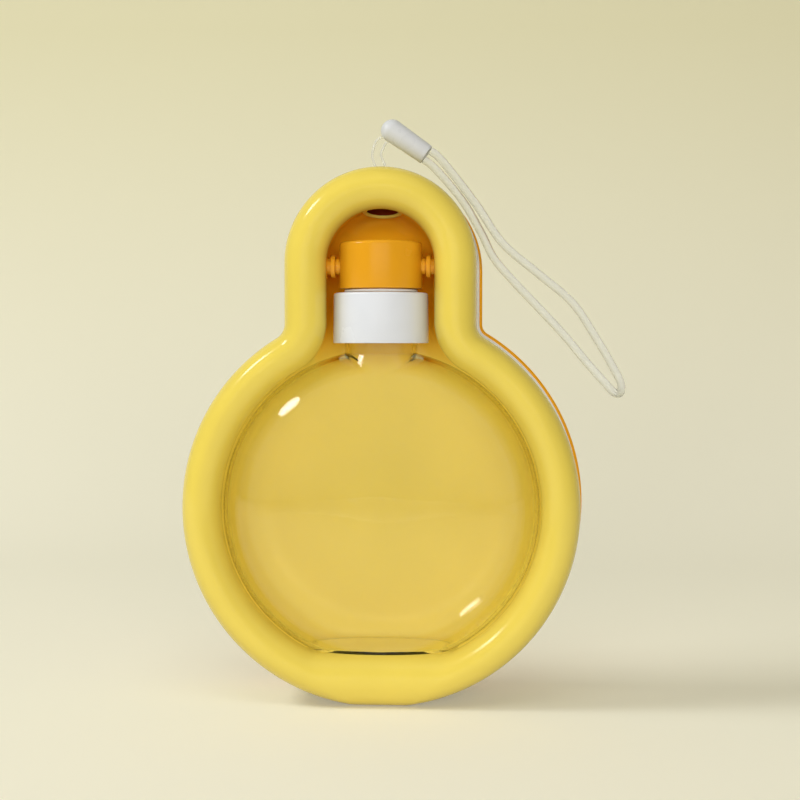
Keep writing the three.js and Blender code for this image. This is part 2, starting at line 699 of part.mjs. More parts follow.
const bottleUnit = new THREE.Group();
bottleUnit.add(piece("bottle", bottle(), CLEAR), neckAxis, pivotSide("left"), pivotSide("right"));

const lanyard = new THREE.Group();
lanyard.add(piece("lanyard_bead", lanyardBead(), MILKY));
lanyard.add(piece("lanyard_string", lanyardString(), CLEAR));
lanyard.add(piece("lanyard_sleeve", lanyardSleeve(), MILKY));
lanyard.add(piece("lanyard_loop", lanyardLoop(), CLEAR));

const waterBottle = new THREE.Group();
waterBottle.add(bowl, bottleUnit, lanyard);

export default waterBottle;
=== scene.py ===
"""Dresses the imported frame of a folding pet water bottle: a clear disc shaped bottle that hangs in a yellow
keyhole shaped drinking bowl, with a white collar, an orange cap and a clear wrist lanyard."""

import math

import bmesh
import bpy
from mathutils import Matrix, Vector


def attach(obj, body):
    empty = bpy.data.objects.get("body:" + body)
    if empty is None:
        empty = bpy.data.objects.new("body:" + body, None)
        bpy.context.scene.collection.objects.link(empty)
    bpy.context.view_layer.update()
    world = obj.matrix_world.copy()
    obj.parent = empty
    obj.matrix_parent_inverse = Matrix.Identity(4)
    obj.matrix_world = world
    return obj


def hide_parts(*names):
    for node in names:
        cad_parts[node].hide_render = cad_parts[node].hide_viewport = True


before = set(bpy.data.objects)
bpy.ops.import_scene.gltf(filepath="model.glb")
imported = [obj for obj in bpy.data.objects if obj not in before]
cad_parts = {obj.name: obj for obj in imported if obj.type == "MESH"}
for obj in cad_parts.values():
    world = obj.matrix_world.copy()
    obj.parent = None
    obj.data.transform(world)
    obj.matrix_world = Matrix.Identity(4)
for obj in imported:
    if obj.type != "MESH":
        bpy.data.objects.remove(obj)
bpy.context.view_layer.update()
scene = bpy.context.scene
scene.view_settings.view_transform = "Standard"

MM = 0.001

# Sizes of the solids, in millimetres
WALL = 2.2
BOWL_R = 73.0
BOWL_Z = 72.4
ARCH_R = 35.0
ARCH_Z = 162.0
CORNER_R = 6.0
RIM_WIDTH = 14.1
ARCH_RIM = 15.3
FULL = ARCH_RIM / RIM_WIDTH
RIM_RISE = 9.0
SEAM_BEVEL = 0.4
ROLL_BACK = 6.0
UNDERCUT = 1.6
SIDE_O = RIM_WIDTH - UNDERCUT
ROLL_Y = -9.5
SEAM_Y = 17.0
FLOOR_Y = 23.0
FLOOR_FILLET = 16.0
SIDE_DRAFT = 0.5
FLOOR_O = SIDE_O + SIDE_DRAFT + FLOOR_FILLET
COVER_STEP = 2.0
COVER_Y = 18.3
COVER_EDGE = 11.0
COVER_BEVEL = 0.5
TONGUE_O = 4.5
TONGUE_WALL = 1.6
TONGUE_LENGTH = 3.0
BACK_Y = 31.5
SEAL_STEP = 0.9
SEAL_GAP = 0.3
SEAL_FRONT = SEAM_Y + SEAL_GAP
SEAL_THICK = 0.7
SEAL_BACK = SEAL_FRONT + SEAL_THICK
SEAL_BEVEL = 0.2
SEAL_INSET = 0.25
SEAL_FOOT = 0.3
SEAL_WIDTH = 3.1
AXIS_Y = -5.0
AXIS_Z = 161.0
TOP_Z = ARCH_Z + ARCH_R
RECESS_R = ARCH_R - ARCH_RIM
BOTTLE_R = 58.3
BOTTLE_HALF = 26.5
BOTTLE_WALL = 1.6
BASE_HALF = 26.0
BASE_Z = BOWL_Z - math.sqrt(BOTTLE_R**2 - BASE_HALF**2)
SHELF_GAP = 1.2
SHELF_Z = BASE_Z - SHELF_GAP
SHELF_EASE = 1.5
NECK_R = 13.4
NECK_BORE = 11.6
NECK_TOP = 145.3
NECK_SINK = 1.6
NECK_FOOT = BOWL_Z + BOTTLE_R - NECK_SINK
NECK_FLARE = 0.5
NECK_OVERCUT = 5.0
CONE_R = 21.2
CONE_BORE = 19.4
CONE_DEPTH = 20.0
DISC_POWER = 2.3
COLLAR_R = 17.5
COLLAR_BORE = 13.9
COLLAR_BOTTOM = 132.9
COLLAR_TOP = 151.3
COLLAR_EDGE = 0.3
COLLAR_ROUND = 1.0
COLLAR_TAPER = 0.2
COLLAR_LEAD = 0.4
COLLAR_LEAD_RISE = 0.5
CAP_R = 15.2
CAP_BOTTOM = 152.7
CAP_TOP = 169.9
CAP_EDGE = 0.4
CAP_ROUND = 1.4
OUTLET_R = 5.5
VALVE_SEAT = 155.6
SPIGOT_R = 11.5
SPIGOT_BORE = 8.7
SPIGOT_BOTTOM = 148.9
SPIGOT_GAP = 0.3
SWIVEL_BORE = SPIGOT_R + SPIGOT_GAP
SWIVEL_BOTTOM = 151.6
SWIVEL_TOP = 152.4
SWIVEL_BEVEL = 0.2
PIN_R = 3.0
PIN_IN = 10.2
PIN_OUT = 24.8
PIN_BEVEL = 0.3
PIN_BORE_R = 3.3
PIN_BORE_IN = 9.9
PIN_BORE_OUT = 20.0
GROOVE_R = 2.7
GROOVE_IN = 16.2
GROOVE_OUT = 16.7
GROOVE_SLOPE = 0.1
WASHER_R = 4.1
WASHER_BORE = 3.2
WASHER_IN = 16.65
WASHER_OUT = 18.25
WASHER_BEVEL = 0.15
BUSH_HOLE_R = 4.8
BUSH_HOLE_IN = 15.0
BUSH_HOLE_OUT = 24.1
EYELET_R = 7.0
EYELET_Y = 4.0
LIP_DROP = 0.5
LIP_Z = ARCH_Z + RECESS_R - LIP_DROP
LIP_SLOPE = math.tan(math.radians(12))
PLATE_Z = 191.0
LIP_ROUND = 0.5
LIP_SHEARED = 1.0
EYELET_BORE = 5.9
FLANGE_R = 7.6
FLANGE_HEIGHT = 3.5
SHOULDER_Z = 192.7
SPOUT_R = 4.6
SPOUT_TOP = 196.7
SPOUT_BEVEL = 0.3
MOUTH_R = 7.1
MOUTH_BOTTOM = 174.0
CROWN_R = 4.9
CROWN_BOTTOM = 190.0
CROWN_TOP = 200.0
STRING_D = 1.0
STRING_X = 2.05
STRING_HOLE_R = 3.0
LOOP_D = 3.0
SLEEVE_R = 4.25
SLEEVE_END_R = 3.8
SLEEVE_LENGTH = 15.6
SLEEVE_EDGE = 0.5
SLEEVE_LAND = 0.4
SLEEVE_DISH = 0.3
SLEEVE_DISH_SLOPE = 0.2
CORD_GAP = 0.3
BEAD_BOTTOM = 187.1
BEAD_TOP = 190.7

# The angle from which an edge is drawn sharp, in degrees, and how finely curves are divided
SHARP = 38
BOTTLE_SHARP = 20
STAGE_SHARP = 80
BOWL_STEPS = 168
CORNER_STEPS = 14
ARCH_STEPS = 72
FILLET_STEPS = 16
CURL_STEPS = 10
ROLL_STEPS = 40
ROLL_INNER_STEPS = 16
COVER_STEPS = 14
DISC_STEPS = 80
DISC_SEGMENTS = 180
CORD_STEPS = 8


# Camera

def aim(obj, target):
    way = Vector(target) - obj.location
    obj.rotation_euler = way.to_track_quat("-Z", "Y").to_euler()


camera_data = bpy.data.cameras.new("camera")
camera_data.sensor_width = 36
camera_data.lens = 69.3
camera = bpy.data.objects.new("camera", camera_data)
scene.collection.objects.link(camera)
camera.location = (0.040, -0.570, 0.134)
aim(camera, (0.0067, 0.0, 0.1118))
scene.camera = camera


# Mesh building

def link(name, mesh):
    obj = bpy.data.objects.new(name, mesh)
    scene.collection.objects.link(obj)
    return obj


def from_bmesh(name, bm, sharp=SHARP):
    bmesh.ops.recalc_face_normals(bm, faces=bm.faces)
    mesh = bpy.data.meshes.new(name)
    bm.to_mesh(mesh)
    bm.free()
    shade(mesh, sharp)
    return link(name, mesh)


def shade(mesh, sharp):
    mesh.shade_smooth()
    mesh.set_sharp_from_angle(angle=math.radians(sharp))


def arc(x, y, radius, start, end, steps):
    points = []
    for i in range(steps + 1):
        a = math.radians(start + (end - start) * i / steps)
        points.append((x + radius * math.cos(a), y + radius * math.sin(a)))
    return points


def keyhole(step):
    """The bowl's outline as (x, z, normal x, normal z), a step outside the shell's own."""
    bowl_r, arch_r, corner_r = BOWL_R + step, ARCH_R + step, CORNER_R - step
    corner_x = arch_r + corner_r
    rise = math.sqrt((bowl_r + corner_r) ** 2 - corner_x**2)
    lean = math.degrees(math.atan2(rise, corner_x))

    def sweep(x, z, r, start, end, steps, first, last):
        line = []
        for i, (c, s) in enumerate(arc(0, 0, 1, start, end, steps)):
            side = first + (last - first) * i / steps
            line.append((x + r * c, z + r * s, side * c, side * s))
        return line

    return (
        sweep(0, BOWL_Z, bowl_r, lean, -180 - lean, BOWL_STEPS, 1, 1)
        + sweep(-corner_x, BOWL_Z + rise, corner_r, -lean, 0, CORNER_STEPS, -1, -FULL)[1:]
        + sweep(0, ARCH_Z - step, arch_r, 180, 0, ARCH_STEPS, FULL, FULL)
        + sweep(corner_x, BOWL_Z + rise, corner_r, 180, 180 + lean, CORNER_STEPS, -FULL, -1)[:-1]
    )


def lifted(z, foot, ease):
    """The higher of z and foot, rounded over where they meet."""
    over = z - foot
    if ease and abs(over) < ease:
        return foot + (over + ease) ** 2 / (4 * ease)
    return max(z, foot)


def loft(name, line, rings, capped=True):
    """Rings of (inset, depth, lowest z, ease) along an outline."""
    bm = bmesh.new()
    rows = []
    for inset, y, foot, *ease in rings:
        row = []
        for x, z, nx, nz in line:
            height = lifted(z - nz * inset, foot, ease[0] if ease else 0)
            row.append(bm.verts.new(Vector((x - nx * inset, y, height)) * MM))
        rows.append(row)
    size = len(line)
    spans = len(rows) - 1 if capped else len(rows)
    for i in range(spans):
        a, b = rows[i], rows[(i + 1) % len(rows)]
        for j in range(size):
            k = (j + 1) % size
            bm.faces.new((a[j], a[k], b[k], b[j]))
    if capped:
        bm.faces.new(rows[0])
        bm.faces.new(rows[-1])
    bmesh.ops.remove_doubles(bm, verts=bm.verts, dist=1e-7)
    return from_bmesh(name, bm)


def turned(name, profile, segments, turn, closed=True):
    """A (radius, height) profile turned about Z, then placed by a matrix in millimetres."""
    bm = bmesh.new()
    rows = []
    for r, h in profile:
        if r < 1e-6:
            rows.append([bm.verts.new(turn @ Vector((0, 0, h)) * MM)])
            continue
        row = []
        for j in range(segments):
            a = 2 * math.pi * j / segments
            row.append(bm.verts.new(turn @ Vector((r * math.cos(a), r * math.sin(a), h)) * MM))
        rows.append(row)
    pairs = list(zip(rows, rows[1:]))
    if closed:
        pairs.append((rows[-1], rows[0]))
    for a, b in pairs:
        for j in range(segments):
            k = (j + 1) % segments
            ring = (a[j % len(a)], a[k % len(a)], b[k % len(b)], b[j % len(b)])
            corners = list(dict.fromkeys(ring))
            if len(corners) > 2:
                bm.faces.new(corners)
    return from_bmesh(name, bm)


def join(obj, tool, how, sharp=SHARP):
    """Joins or cuts obj with tool, which is used up."""
    modifier = obj.modifiers.new("join", "BOOLEAN")
    modifier.operation = how
    modifier.solver = "EXACT"
    modifier.object = tool
    bpy.context.view_layer.update()
    mesh = bpy.data.meshes.new_from_object(obj.evaluated_get(bpy.context.evaluated_depsgraph_get()))
    obj.modifiers.clear()
    old = obj.data
    obj.data = mesh
    bpy.data.meshes.remove(old)
    bpy.data.objects.remove(tool)
    shade(mesh, sharp)
    return obj


def at(x, y, z):
    return Matrix.Translation((x, y, z))


def along_x(side):
    """Turns Z onto +X or -X at the pivot axis."""
    return at(0, AXIS_Y, AXIS_Z) @ Matrix.Rotation(side * math.pi / 2, 4, "Y")


NECK_AXIS = at(0, AXIS_Y, 0)
EYELET_AXIS = at(0, EYELET_Y, 0)


def plug(name, radius, start, end, segments, turn):
    """A plain cylinder, to cut with."""
    profile = [(0, start), (radius, start), (radius, end), (0, end)]
    return turned(name, profile, segments, turn, closed=False)


# Lanyard route

SLEEVE_SLOPE = math.radians(35)
ALONG = Vector((math.cos(SLEEVE_SLOPE), 0, -math.sin(SLEEVE_SLOPE)))
ACROSS = Vector((math.sin(SLEEVE_SLOPE), 0, math.cos(SLEEVE_SLOPE)))
SLEEVE_START = Vector((3.6, EYELET_Y, TOP_Z + 14.6))
SLEEVE_END = SLEEVE_START + ALONG * SLEEVE_LENGTH


def smooth_route(points):
    """A centripetal curve through points."""
    ends = [points[0] * 2 - points[1]] + points + [points[-1] * 2 - points[-2]]
    route = []
    for p0, p1, p2, p3 in zip(ends, ends[1:], ends[2:], ends[3:]):
        d0, d1, d2 = (math.sqrt((b - a).length) for a, b in ((p0, p1), (p1, p2), (p2, p3)))
        t1 = ((p1 - p0) / d0 - (p2 - p0) / (d0 + d1) + (p2 - p1) / d1) * d1
        t2 = ((p2 - p1) / d1 - (p3 - p1) / (d1 + d2) + (p3 - p2) / d2) * d1
        for i in range(CORD_STEPS):
            t = i / CORD_STEPS
            a, b = 2 * t**3 - 3 * t**2 + 1, t**3 - 2 * t**2 + t
            c, d = -2 * t**3 + 3 * t**2, t**3 - t**2
            route.append(p1 * a + t1 * b + p2 * c + t2 * d)
    return route + [points[-1]]


def cord(name, points, diameter):
    """A round cord along a smooth route, and its length in metres."""
    route = [p * MM for p in smooth_route(points)]
    curve = bpy.data.curves.new(name, "CURVE")
    curve.dimensions = "3D"
    curve.bevel_depth = 1
    curve.bevel_resolution = 6
    curve.use_fill_caps = True
    spline = curve.splines.new("POLY")
    spline.points.add(len(route) - 1)
    for point, place in zip(spline.points, route):
        point.co = (*place, 1)
        point.radius = diameter * MM / 2
    spline.use_smooth = True
    return link(name, curve), sum((b - a).length for a, b in zip(route, route[1:]))


# The string's ends on the sleeve, in degrees, and its way down to the eyelet and up again, as x and height over it
STRING_ENDS = (211, 242)
STRING_DOWN = [(-3.4, 8.2), (-3.7, 4.8)]
STRING_UP = [(0.2, 3.4), (-0.5, 6)]
BIGHT = 0.72


def string_points():
    def end(degrees):
        way = Vector((math.cos(math.radians(degrees)), 0, math.sin(math.radians(degrees))))
        return [SLEEVE_START + way * (SLEEVE_R + far) for far in (CORD_GAP, CORD_GAP + 2 * STRING_D)]

    def on(x, z):
        return Vector((x, EYELET_Y, z))

    (left_end, left_out), (right_end, right_out) = (end(degrees) for degrees in STRING_ENDS)
    straight = (BEAD_BOTTOM, BEAD_TOP, TOP_Z - 1)
    bight = STRING_X * BIGHT
    return (
        [left_end, left_out]
        + [on(x, TOP_Z + over) for x, over in STRING_DOWN]
        + [on(-STRING_X, z) for z in reversed(straight)]
        + [on(-bight, BEAD_BOTTOM - bight), on(0, BEAD_BOTTOM - STRING_X), on(bight, BEAD_BOTTOM - bight)]
        + [on(STRING_X, z) for z in straight]
        + [on(x, TOP_Z + over) for x, over in STRING_UP]
        + [right_out, right_end]
    )


LOOP_SPREAD = 2
LOOP_ROUTE = [
    (34.3, 8.2, 185.2),
    (44.6, 8.8, 170.2),
    (58.2, 9.6, 158.6),
    (70.9, 10.4, 147.8),
    (79.4, 11, 135.2),
    (85.4, 11, 125),
    (88.8, 9.4, 118),
    (88.2, 5.2, 114.4),
    (85.6, 1, 114.8),
    (81.6, -0.8, 119),
    (76, -0.6, 125.2),
    (67.6, 0.6, 135.4),
    (58.2, 2, 145.6),
    (48.6, 3.6, 155.8),
    (41.4, 5, 164.4),
    (36.4, 6, 174.4),
    (29.4, 6.8, 186.2),
]


def loop_points():
    def leave(offset, far):
        return SLEEVE_END + ACROSS * offset + ALONG * far

    return (
        [leave(LOOP_SPREAD, far) for far in (CORD_GAP, CORD_GAP + LOOP_D)]
        + [Vector(p) for p in LOOP_ROUTE]
        + [leave(-LOOP_SPREAD, far) for far in (CORD_GAP + LOOP_D, CORD_GAP)]
    )


string, string_length = cord("lanyard_string_cord", string_points(), STRING_D)
loop, loop_length = cord("lanyard_loop_cord", loop_points(), LOOP_D)
sleeve_facing = Vector((0, 0, 1)).rotation_difference(ALONG).to_matrix().to_4x4()
dish_r = SLEEVE_END_R - SLEEVE_EDGE - SLEEVE_LAND
dish_z = SLEEVE_LENGTH - SLEEVE_DISH
sleeve_profile = (
    arc(0, 0, SLEEVE_R, -90, 0, 14)
    + arc(SLEEVE_END_R - SLEEVE_EDGE, SLEEVE_LENGTH - SLEEVE_EDGE, SLEEVE_EDGE, 0, 90, 5)
    + [(dish_r, SLEEVE_LENGTH), (dish_r - SLEEVE_DISH_SLOPE, dish_z), (0, dish_z)]
)
sleeve_profile[0] = (0, -SLEEVE_R)
sleeve = turned("lanyard_sleeve_grip", sleeve_profile, 72, at(*SLEEVE_START) @ sleeve_facing, closed=False)

for piece, node in ((string, "lanyard_string"), (loop, "lanyard_loop"), (sleeve, "lanyard_sleeve")):
    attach(piece, "bowl")
    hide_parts(node)


# Materials

NOISE_LOW, NOISE_HIGH = 0.3, 0.7
MIX_A, MIX_B, MIX_RESULT = 6, 7, 2
GLOSSY = (0.12, 0.16)
SATIN = (0.2, 0.28)

# Where painted shade (arch's recess, eyelet) or painted light (bowl's side) fades in or out, in millimetres
RECESS_BEHIND = (-11, -4)
RECESS_OVER = (118, 145)
RECESS_WITHIN = (27, 25)
SIDE_BEHIND = (-11, -5)
SIDE_BEYOND = (42, 57)
SIDE_WITHIN = (68, 66)
SIDE_UNDER = (128, 108)
BORE_WITHIN = (6.1, 5.95)
BORE_OVER_LIP = (0.7, 0.9)
BORE_UNDER_PLATE = (0.3, 0.1)


def material(name):
    made = bpy.data.materials.new(name)
    made.use_nodes = True
    nodes = made.node_tree.nodes
    nodes.clear()
    output = nodes.new("ShaderNodeOutputMaterial")
    shader = nodes.new("ShaderNodeBsdfPrincipled")
    made.node_tree.links.new(shader.outputs[0], output.inputs[0])
    return made, shader


def worked(tree, kind, operation, *values):
    """A math node of some kind, fed with sockets or plain values."""
    node = tree.nodes.new(kind)
    node.operation = operation
    for socket, value in zip(node.inputs, values):
        if isinstance(value, bpy.types.NodeSocket):
            tree.links.new(value, socket)
        else:
            socket.default_value = value
    return node


def calc(tree, operation, a, b, clamp=False):
    node = worked(tree, "ShaderNodeMath", operation, a, b)
    node.use_clamp = clamp
    return node.outputs[0]


def measure(tree, operation, *vectors):
    return worked(tree, "ShaderNodeVectorMath", operation, *vectors).outputs["Value"]


def position(tree):
    """The place on the object, which is the place in the frame."""
    return tree.nodes.new("ShaderNodeTexCoord").outputs["Object"]


def axes(tree):
    """The same place as separate X, Y and Z."""
    split = tree.nodes.new("ShaderNodeSeparateXYZ")
    tree.links.new(position(tree), split.inputs[0])
    return split.outputs


def off_axis(tree, point, across):
    """The distance from an axis through a point, across it."""
    flat = tree.nodes.new("ShaderNodeMapping")
    flat.inputs["Location"].default_value = [-v * MM for v in point]
    flat.inputs["Scale"].default_value = across
    tree.links.new(position(tree), flat.inputs["Vector"])
    return measure(tree, "LENGTH", flat.outputs["Vector"])


def noise(tree, scale, detail=3.0):
    texture = tree.nodes.new("ShaderNodeTexNoise")
    texture.inputs["Scale"].default_value = scale
    texture.inputs["Detail"].default_value = detail
    tree.links.new(position(tree), texture.inputs["Vector"])
    return texture.outputs["Fac"]


def ranged(tree, value, start, end, low=0.0, high=1.0, ease=False):
    """Takes start to end over to low to high."""
    span = tree.nodes.new("ShaderNodeMapRange")
    if ease:
        span.interpolation_type = "SMOOTHSTEP"
    for socket, number in (("From Min", start), ("From Max", end), ("To Min", low), ("To Max", high)):
        span.inputs[socket].default_value = number
    tree.links.new(value, span.inputs["Value"])
    return span.outputs["Result"]


def eased(tree, value, start, end):
    """0 to 1 between two places in millimetres."""
    return ranged(tree, value, start * MM, end * MM, ease=True)


def blended(tree, factor, colors, places=(0.0, 1.0)):
    """One colour to another, between two places of a factor."""
    ramp = tree.nodes.new("ShaderNodeValToRGB")
    for element, color, place in zip(ramp.color_ramp.elements, colors, places):
        element.position = place
        element.color = (*color, 1)
    tree.links.new(factor, ramp.inputs["Fac"])
    return ramp.outputs["Color"]


def linear(r, g, b):
    def one(v):
        v /= 255
        return v / 12.92 if v <= 0.04045 else ((v + 0.055) / 1.055) ** 2.4

    return one(r), one(g), one(b)


def plastic(name, colors, roughness, scales, detail, strength, depth):
    """A plastic with an uneven colour, gloss and skin, each with the scale of its own noise."""
    made, shader = material(name)
    tree = made.node_tree
    tint, gloss, skin = scales
    color = blended(tree, noise(tree, tint), colors, (NOISE_LOW, NOISE_HIGH))
    tree.links.new(color, shader.inputs["Base Color"])
    rough = ranged(tree, noise(tree, gloss), NOISE_LOW, NOISE_HIGH, *roughness)
    tree.links.new(rough, shader.inputs["Roughness"])
    bump = tree.nodes.new("ShaderNodeBump")
    bump.inputs["Strength"].default_value = strength
    bump.inputs["Distance"].default_value = depth
    tree.links.new(noise(tree, skin, detail), bump.inputs["Height"])
    tree.links.new(bump.outputs["Normal"], shader.inputs["Normal"])
    return made, shader


def moulded(name, color, roughness, grain=900, strength=0.06):
    """Moulded plastic: a slightly uneven colour and gloss, and a fine skin."""
    dark = tuple(c * 0.965 for c in color)
    light = tuple(min(c * 1.025, 1) for c in color)
    scales = (34, 70, grain)
    return plastic(name, (dark, light), roughness, scales, detail=2.0, strength=strength, depth=0.0002)[0]


def clear(name, color, roughness, ior, wave, transmission=1.0):
    """Clear plastic with a faintly wavy, not quite even polish."""
    dark = tuple(c * 0.985 for c in color)
    scales = (20, 45, 26)
    made, shader = plastic(name, (dark, color), roughness, scales, detail=1.0, strength=wave, depth=0.0005)
    shader.inputs["IOR"].default_value = ior
    shader.inputs["Transmission Weight"].default_value = transmission
    return made


def recolored(made, color, *factors):
    """Turns a material's colour to another where all the factors are 1."""
    tree = made.node_tree
    shader = next(n for n in tree.nodes if n.type == "BSDF_PRINCIPLED")
    mix = tree.nodes.new("ShaderNodeMix")
    mix.data_type = "RGBA"
    factor = factors[0]
    for other in factors[1:]:
        factor = calc(tree, "MULTIPLY", factor, other)
    tree.links.new(factor, mix.inputs["Factor"])
    tree.links.new(shader.inputs["Base Color"].links[0].from_socket, mix.inputs[MIX_A])
    mix.inputs[MIX_B].default_value = (*color, 1)
    tree.links.new(mix.outputs[MIX_RESULT], shader.inputs["Base Color"])


def painted_recess_shade(made, color):
    """Paints shade into the arch's recess as a deeper colour: it fades in behind the roll and above the bowl."""
    tree = made.node_tree
    where = axes(tree)
    across = tree.nodes.new("ShaderNodeCombineXYZ")
    tree.links.new(where["X"], across.inputs["X"])
    tree.links.new(calc(tree, "SUBTRACT", where["Z"], ARCH_Z * MM, clamp=True), across.inputs["Z"])
    far = measure(tree, "LENGTH", across.outputs["Vector"])
    recolored(
        made,
        color,
        eased(tree, where["Y"], *RECESS_BEHIND),
        eased(tree, where["Z"], *RECESS_OVER),
        eased(tree, far, *RECESS_WITHIN),
    )


def painted_side_light(made, color):
    """Paints light on the bowl's side wall behind the roll, as a lighter colour that lifts its shade."""
    tree = made.node_tree
    where = axes(tree)
    far = off_axis(tree, (0, 0, BOWL_Z), (1, 0, 1))
    recolored(
        made,
        color,
        eased(tree, where["Y"], *SIDE_BEHIND),
        eased(tree, far, *SIDE_BEYOND),
        eased(tree, far, *SIDE_WITHIN),
        eased(tree, where["Z"], *SIDE_UNDER),
    )


def painted_bore_shade(made, color):
    """Paints shade into the eyelet's bore, deeper still than the recess's, from its tilted lip up to the plate."""
    tree = made.node_tree
    far = off_axis(tree, (0, EYELET_Y, 0), (1, 1, 0))
    level = measure(tree, "DOT_PRODUCT", position(tree), (0, LIP_SLOPE, 1))
    lip = LIP_Z + LIP_SLOPE * EYELET_Y
    recolored(
        made,
        color,
        eased(tree, far, *BORE_WITHIN),
        eased(tree, level, *(lip + over for over in BORE_OVER_LIP)),
        eased(tree, axes(tree)["Z"], *(PLATE_Z + over for over in BORE_UNDER_PLATE)),
    )


# The eyelet's yellow is a lighter copy of the shell's, painted light for its shaded lip; its bore gets painted
# shade.
EYELET_PAINTED_LIGHT_AND_SHADE = moulded("yellow_plastic", linear(254, 240, 112), GLOSSY)
# Painted shade: a dark red-brown in the eyelet's bore.
painted_bore_shade(EYELET_PAINTED_LIGHT_AND_SHADE, linear(120, 40, 4))
SHELL = moulded("yellow_shell", linear(232, 209, 92), GLOSSY)
# Painted light: a lighter yellow on the side wall behind the roll.
painted_side_light(SHELL, linear(243, 219, 95))
# Painted shade: a deeper orange in the arch's recess.
painted_recess_shade(SHELL, (0.99, 0.48, 0.014))
AMBER = moulded("amber_plastic", linear(248, 172, 8), SATIN)
ORANGE = moulded("orange_plastic", linear(228, 160, 28), SATIN)
WHITE = moulded("white_plastic", linear(221, 225, 235), SATIN)
RUBBER = moulded("seal_rubber", linear(240, 240, 238), (0.5, 0.62), grain=1500, strength=0.1)
CLEAR = clear("clear_plastic", (0.985, 0.975, 0.91), (0.0, 0.008), ior=1.4, wave=0.0012)
CORD = clear("clear_cord", (0.97, 0.985, 1.0), (0.06, 0.14), ior=1.18, wave=0.02, transmission=0.7)
MILKY = moulded("milky_plastic", linear(214, 217, 222), (0.25, 0.35))


def dress(piece, look):
    piece.data.materials.clear()
    piece.data.materials.append(look)


dress(string, CORD)
dress(loop, CORD)
dress(sleeve, MILKY)


def stand_for(piece, body, look, slot, *nodes):
    dress(piece, look)
    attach(piece, body)
    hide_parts(*nodes)


# Bowl

def floor_fillet(radius, start, end, foot):
    line = arc(FLOOR_O, FLOOR_Y - FLOOR_FILLET, radius, start, end, FILLET_STEPS)
    return [(o, y, foot, SHELF_EASE) for o, y in line]


def roll(thickness, start, end, steps):
    """The roll's section. At the bottom it is broader, up to the opening's flat bottom."""
    mid, low = RIM_WIDTH / 2, SHELF_Z / 2
    rings = []
    for c, s in arc(0, 0, 1, start, end, steps):
        ease = SHELF_EASE * (1 + c) / 2
        depth = ROLL_Y - (RIM_RISE - thickness) * s
        rings.append((mid + (mid - thickness) * c, depth, low + (low - thickness) * c, ease))
    return rings


def curl():
    """Behind its inner edge the roll curls back to the bowl's side."""
    quarter = arc(0, 0, 1, 90, 0, CURL_STEPS)
    return [(SIDE_O + UNDERCUT * c, ROLL_Y + ROLL_BACK * s, SHELF_Z, SHELF_EASE) for c, s in quarter]


shell = loft(
    "bowl_shell_moulding",
    keyhole(0),
    floor_fillet(FLOOR_FILLET, 90, 180, SHELF_Z)
    + curl()
    + roll(0, 0, 180, ROLL_STEPS)[1:]
    + [(0, SEAM_Y - SEAM_BEVEL, 0), (SEAM_BEVEL, SEAM_Y, SEAM_BEVEL), (WALL, SEAM_Y, WALL)]
    + roll(WALL, 180, 0, ROLL_INNER_STEPS)
    + [(SIDE_O - WALL, ROLL_Y + ROLL_BACK, SHELF_Z - WALL, SHELF_EASE)]
    + floor_fillet(FLOOR_FILLET + WALL, 180, 90, SHELF_Z - WALL),
)
for side in (1, -1):
    join(shell, plug("bush_hole", BUSH_HOLE_R, BUSH_HOLE_IN, BUSH_HOLE_OUT, 48, along_x(side)), "DIFFERENCE")
join(shell, plug("mouth", MOUTH_R, MOUTH_BOTTOM, PLATE_Z, 64, EYELET_AXIS), "DIFFERENCE")
join(shell, plug("crown", CROWN_R, CROWN_BOTTOM, CROWN_TOP, 48, EYELET_AXIS), "DIFFERENCE")
stand_for(shell, "bowl", SHELL, "yellow_plastic", "bowl_shell")


def cover_edge(radius, start, end, foot):
    line = arc(COVER_EDGE, BACK_Y - COVER_EDGE, radius, start, end, COVER_STEPS)
    return [(o, y, foot) for o, y in line]


def tongue(inset, depth):
    """A ring of the cover's tongue, which stands in the shell."""
    return TONGUE_O + inset, depth, TONGUE_O - COVER_STEP + inset


cover = loft(
    "rear_cover_moulding",
    keyhole(COVER_STEP),
    cover_edge(COVER_EDGE, 90, 180, 0)
    + [(0, COVER_Y + COVER_BEVEL, 0), (COVER_BEVEL, COVER_Y, COVER_BEVEL)]
    + [tongue(0, COVER_Y), tongue(0, COVER_Y - TONGUE_LENGTH)]
    + [tongue(TONGUE_WALL, COVER_Y - TONGUE_LENGTH), tongue(TONGUE_WALL, COVER_Y + WALL)]
    + cover_edge(COVER_EDGE - WALL, 180, 90, WALL),
)
stand_for(cover, "bowl", AMBER, "amber_plastic", "rear_cover")

seal = loft(
    "seam_seal_strip",
    keyhole(SEAL_STEP),
    [
        (SEAL_INSET, SEAL_FRONT, SEAL_FOOT),
        (0, SEAL_FRONT + SEAL_BEVEL, SEAL_FOOT),
        (0, SEAL_BACK - SEAL_BEVEL, SEAL_FOOT),
        (SEAL_INSET, SEAL_BACK, SEAL_FOOT),
        (SEAL_WIDTH, SEAL_BACK, SEAL_WIDTH - SEAL_STEP),
        (SEAL_WIDTH, SEAL_FRONT, SEAL_WIDTH - SEAL_STEP),
    ],
    capped=False,
)
stand_for(seal, "bowl", RUBBER, "seal_rubber", "seam_seal")


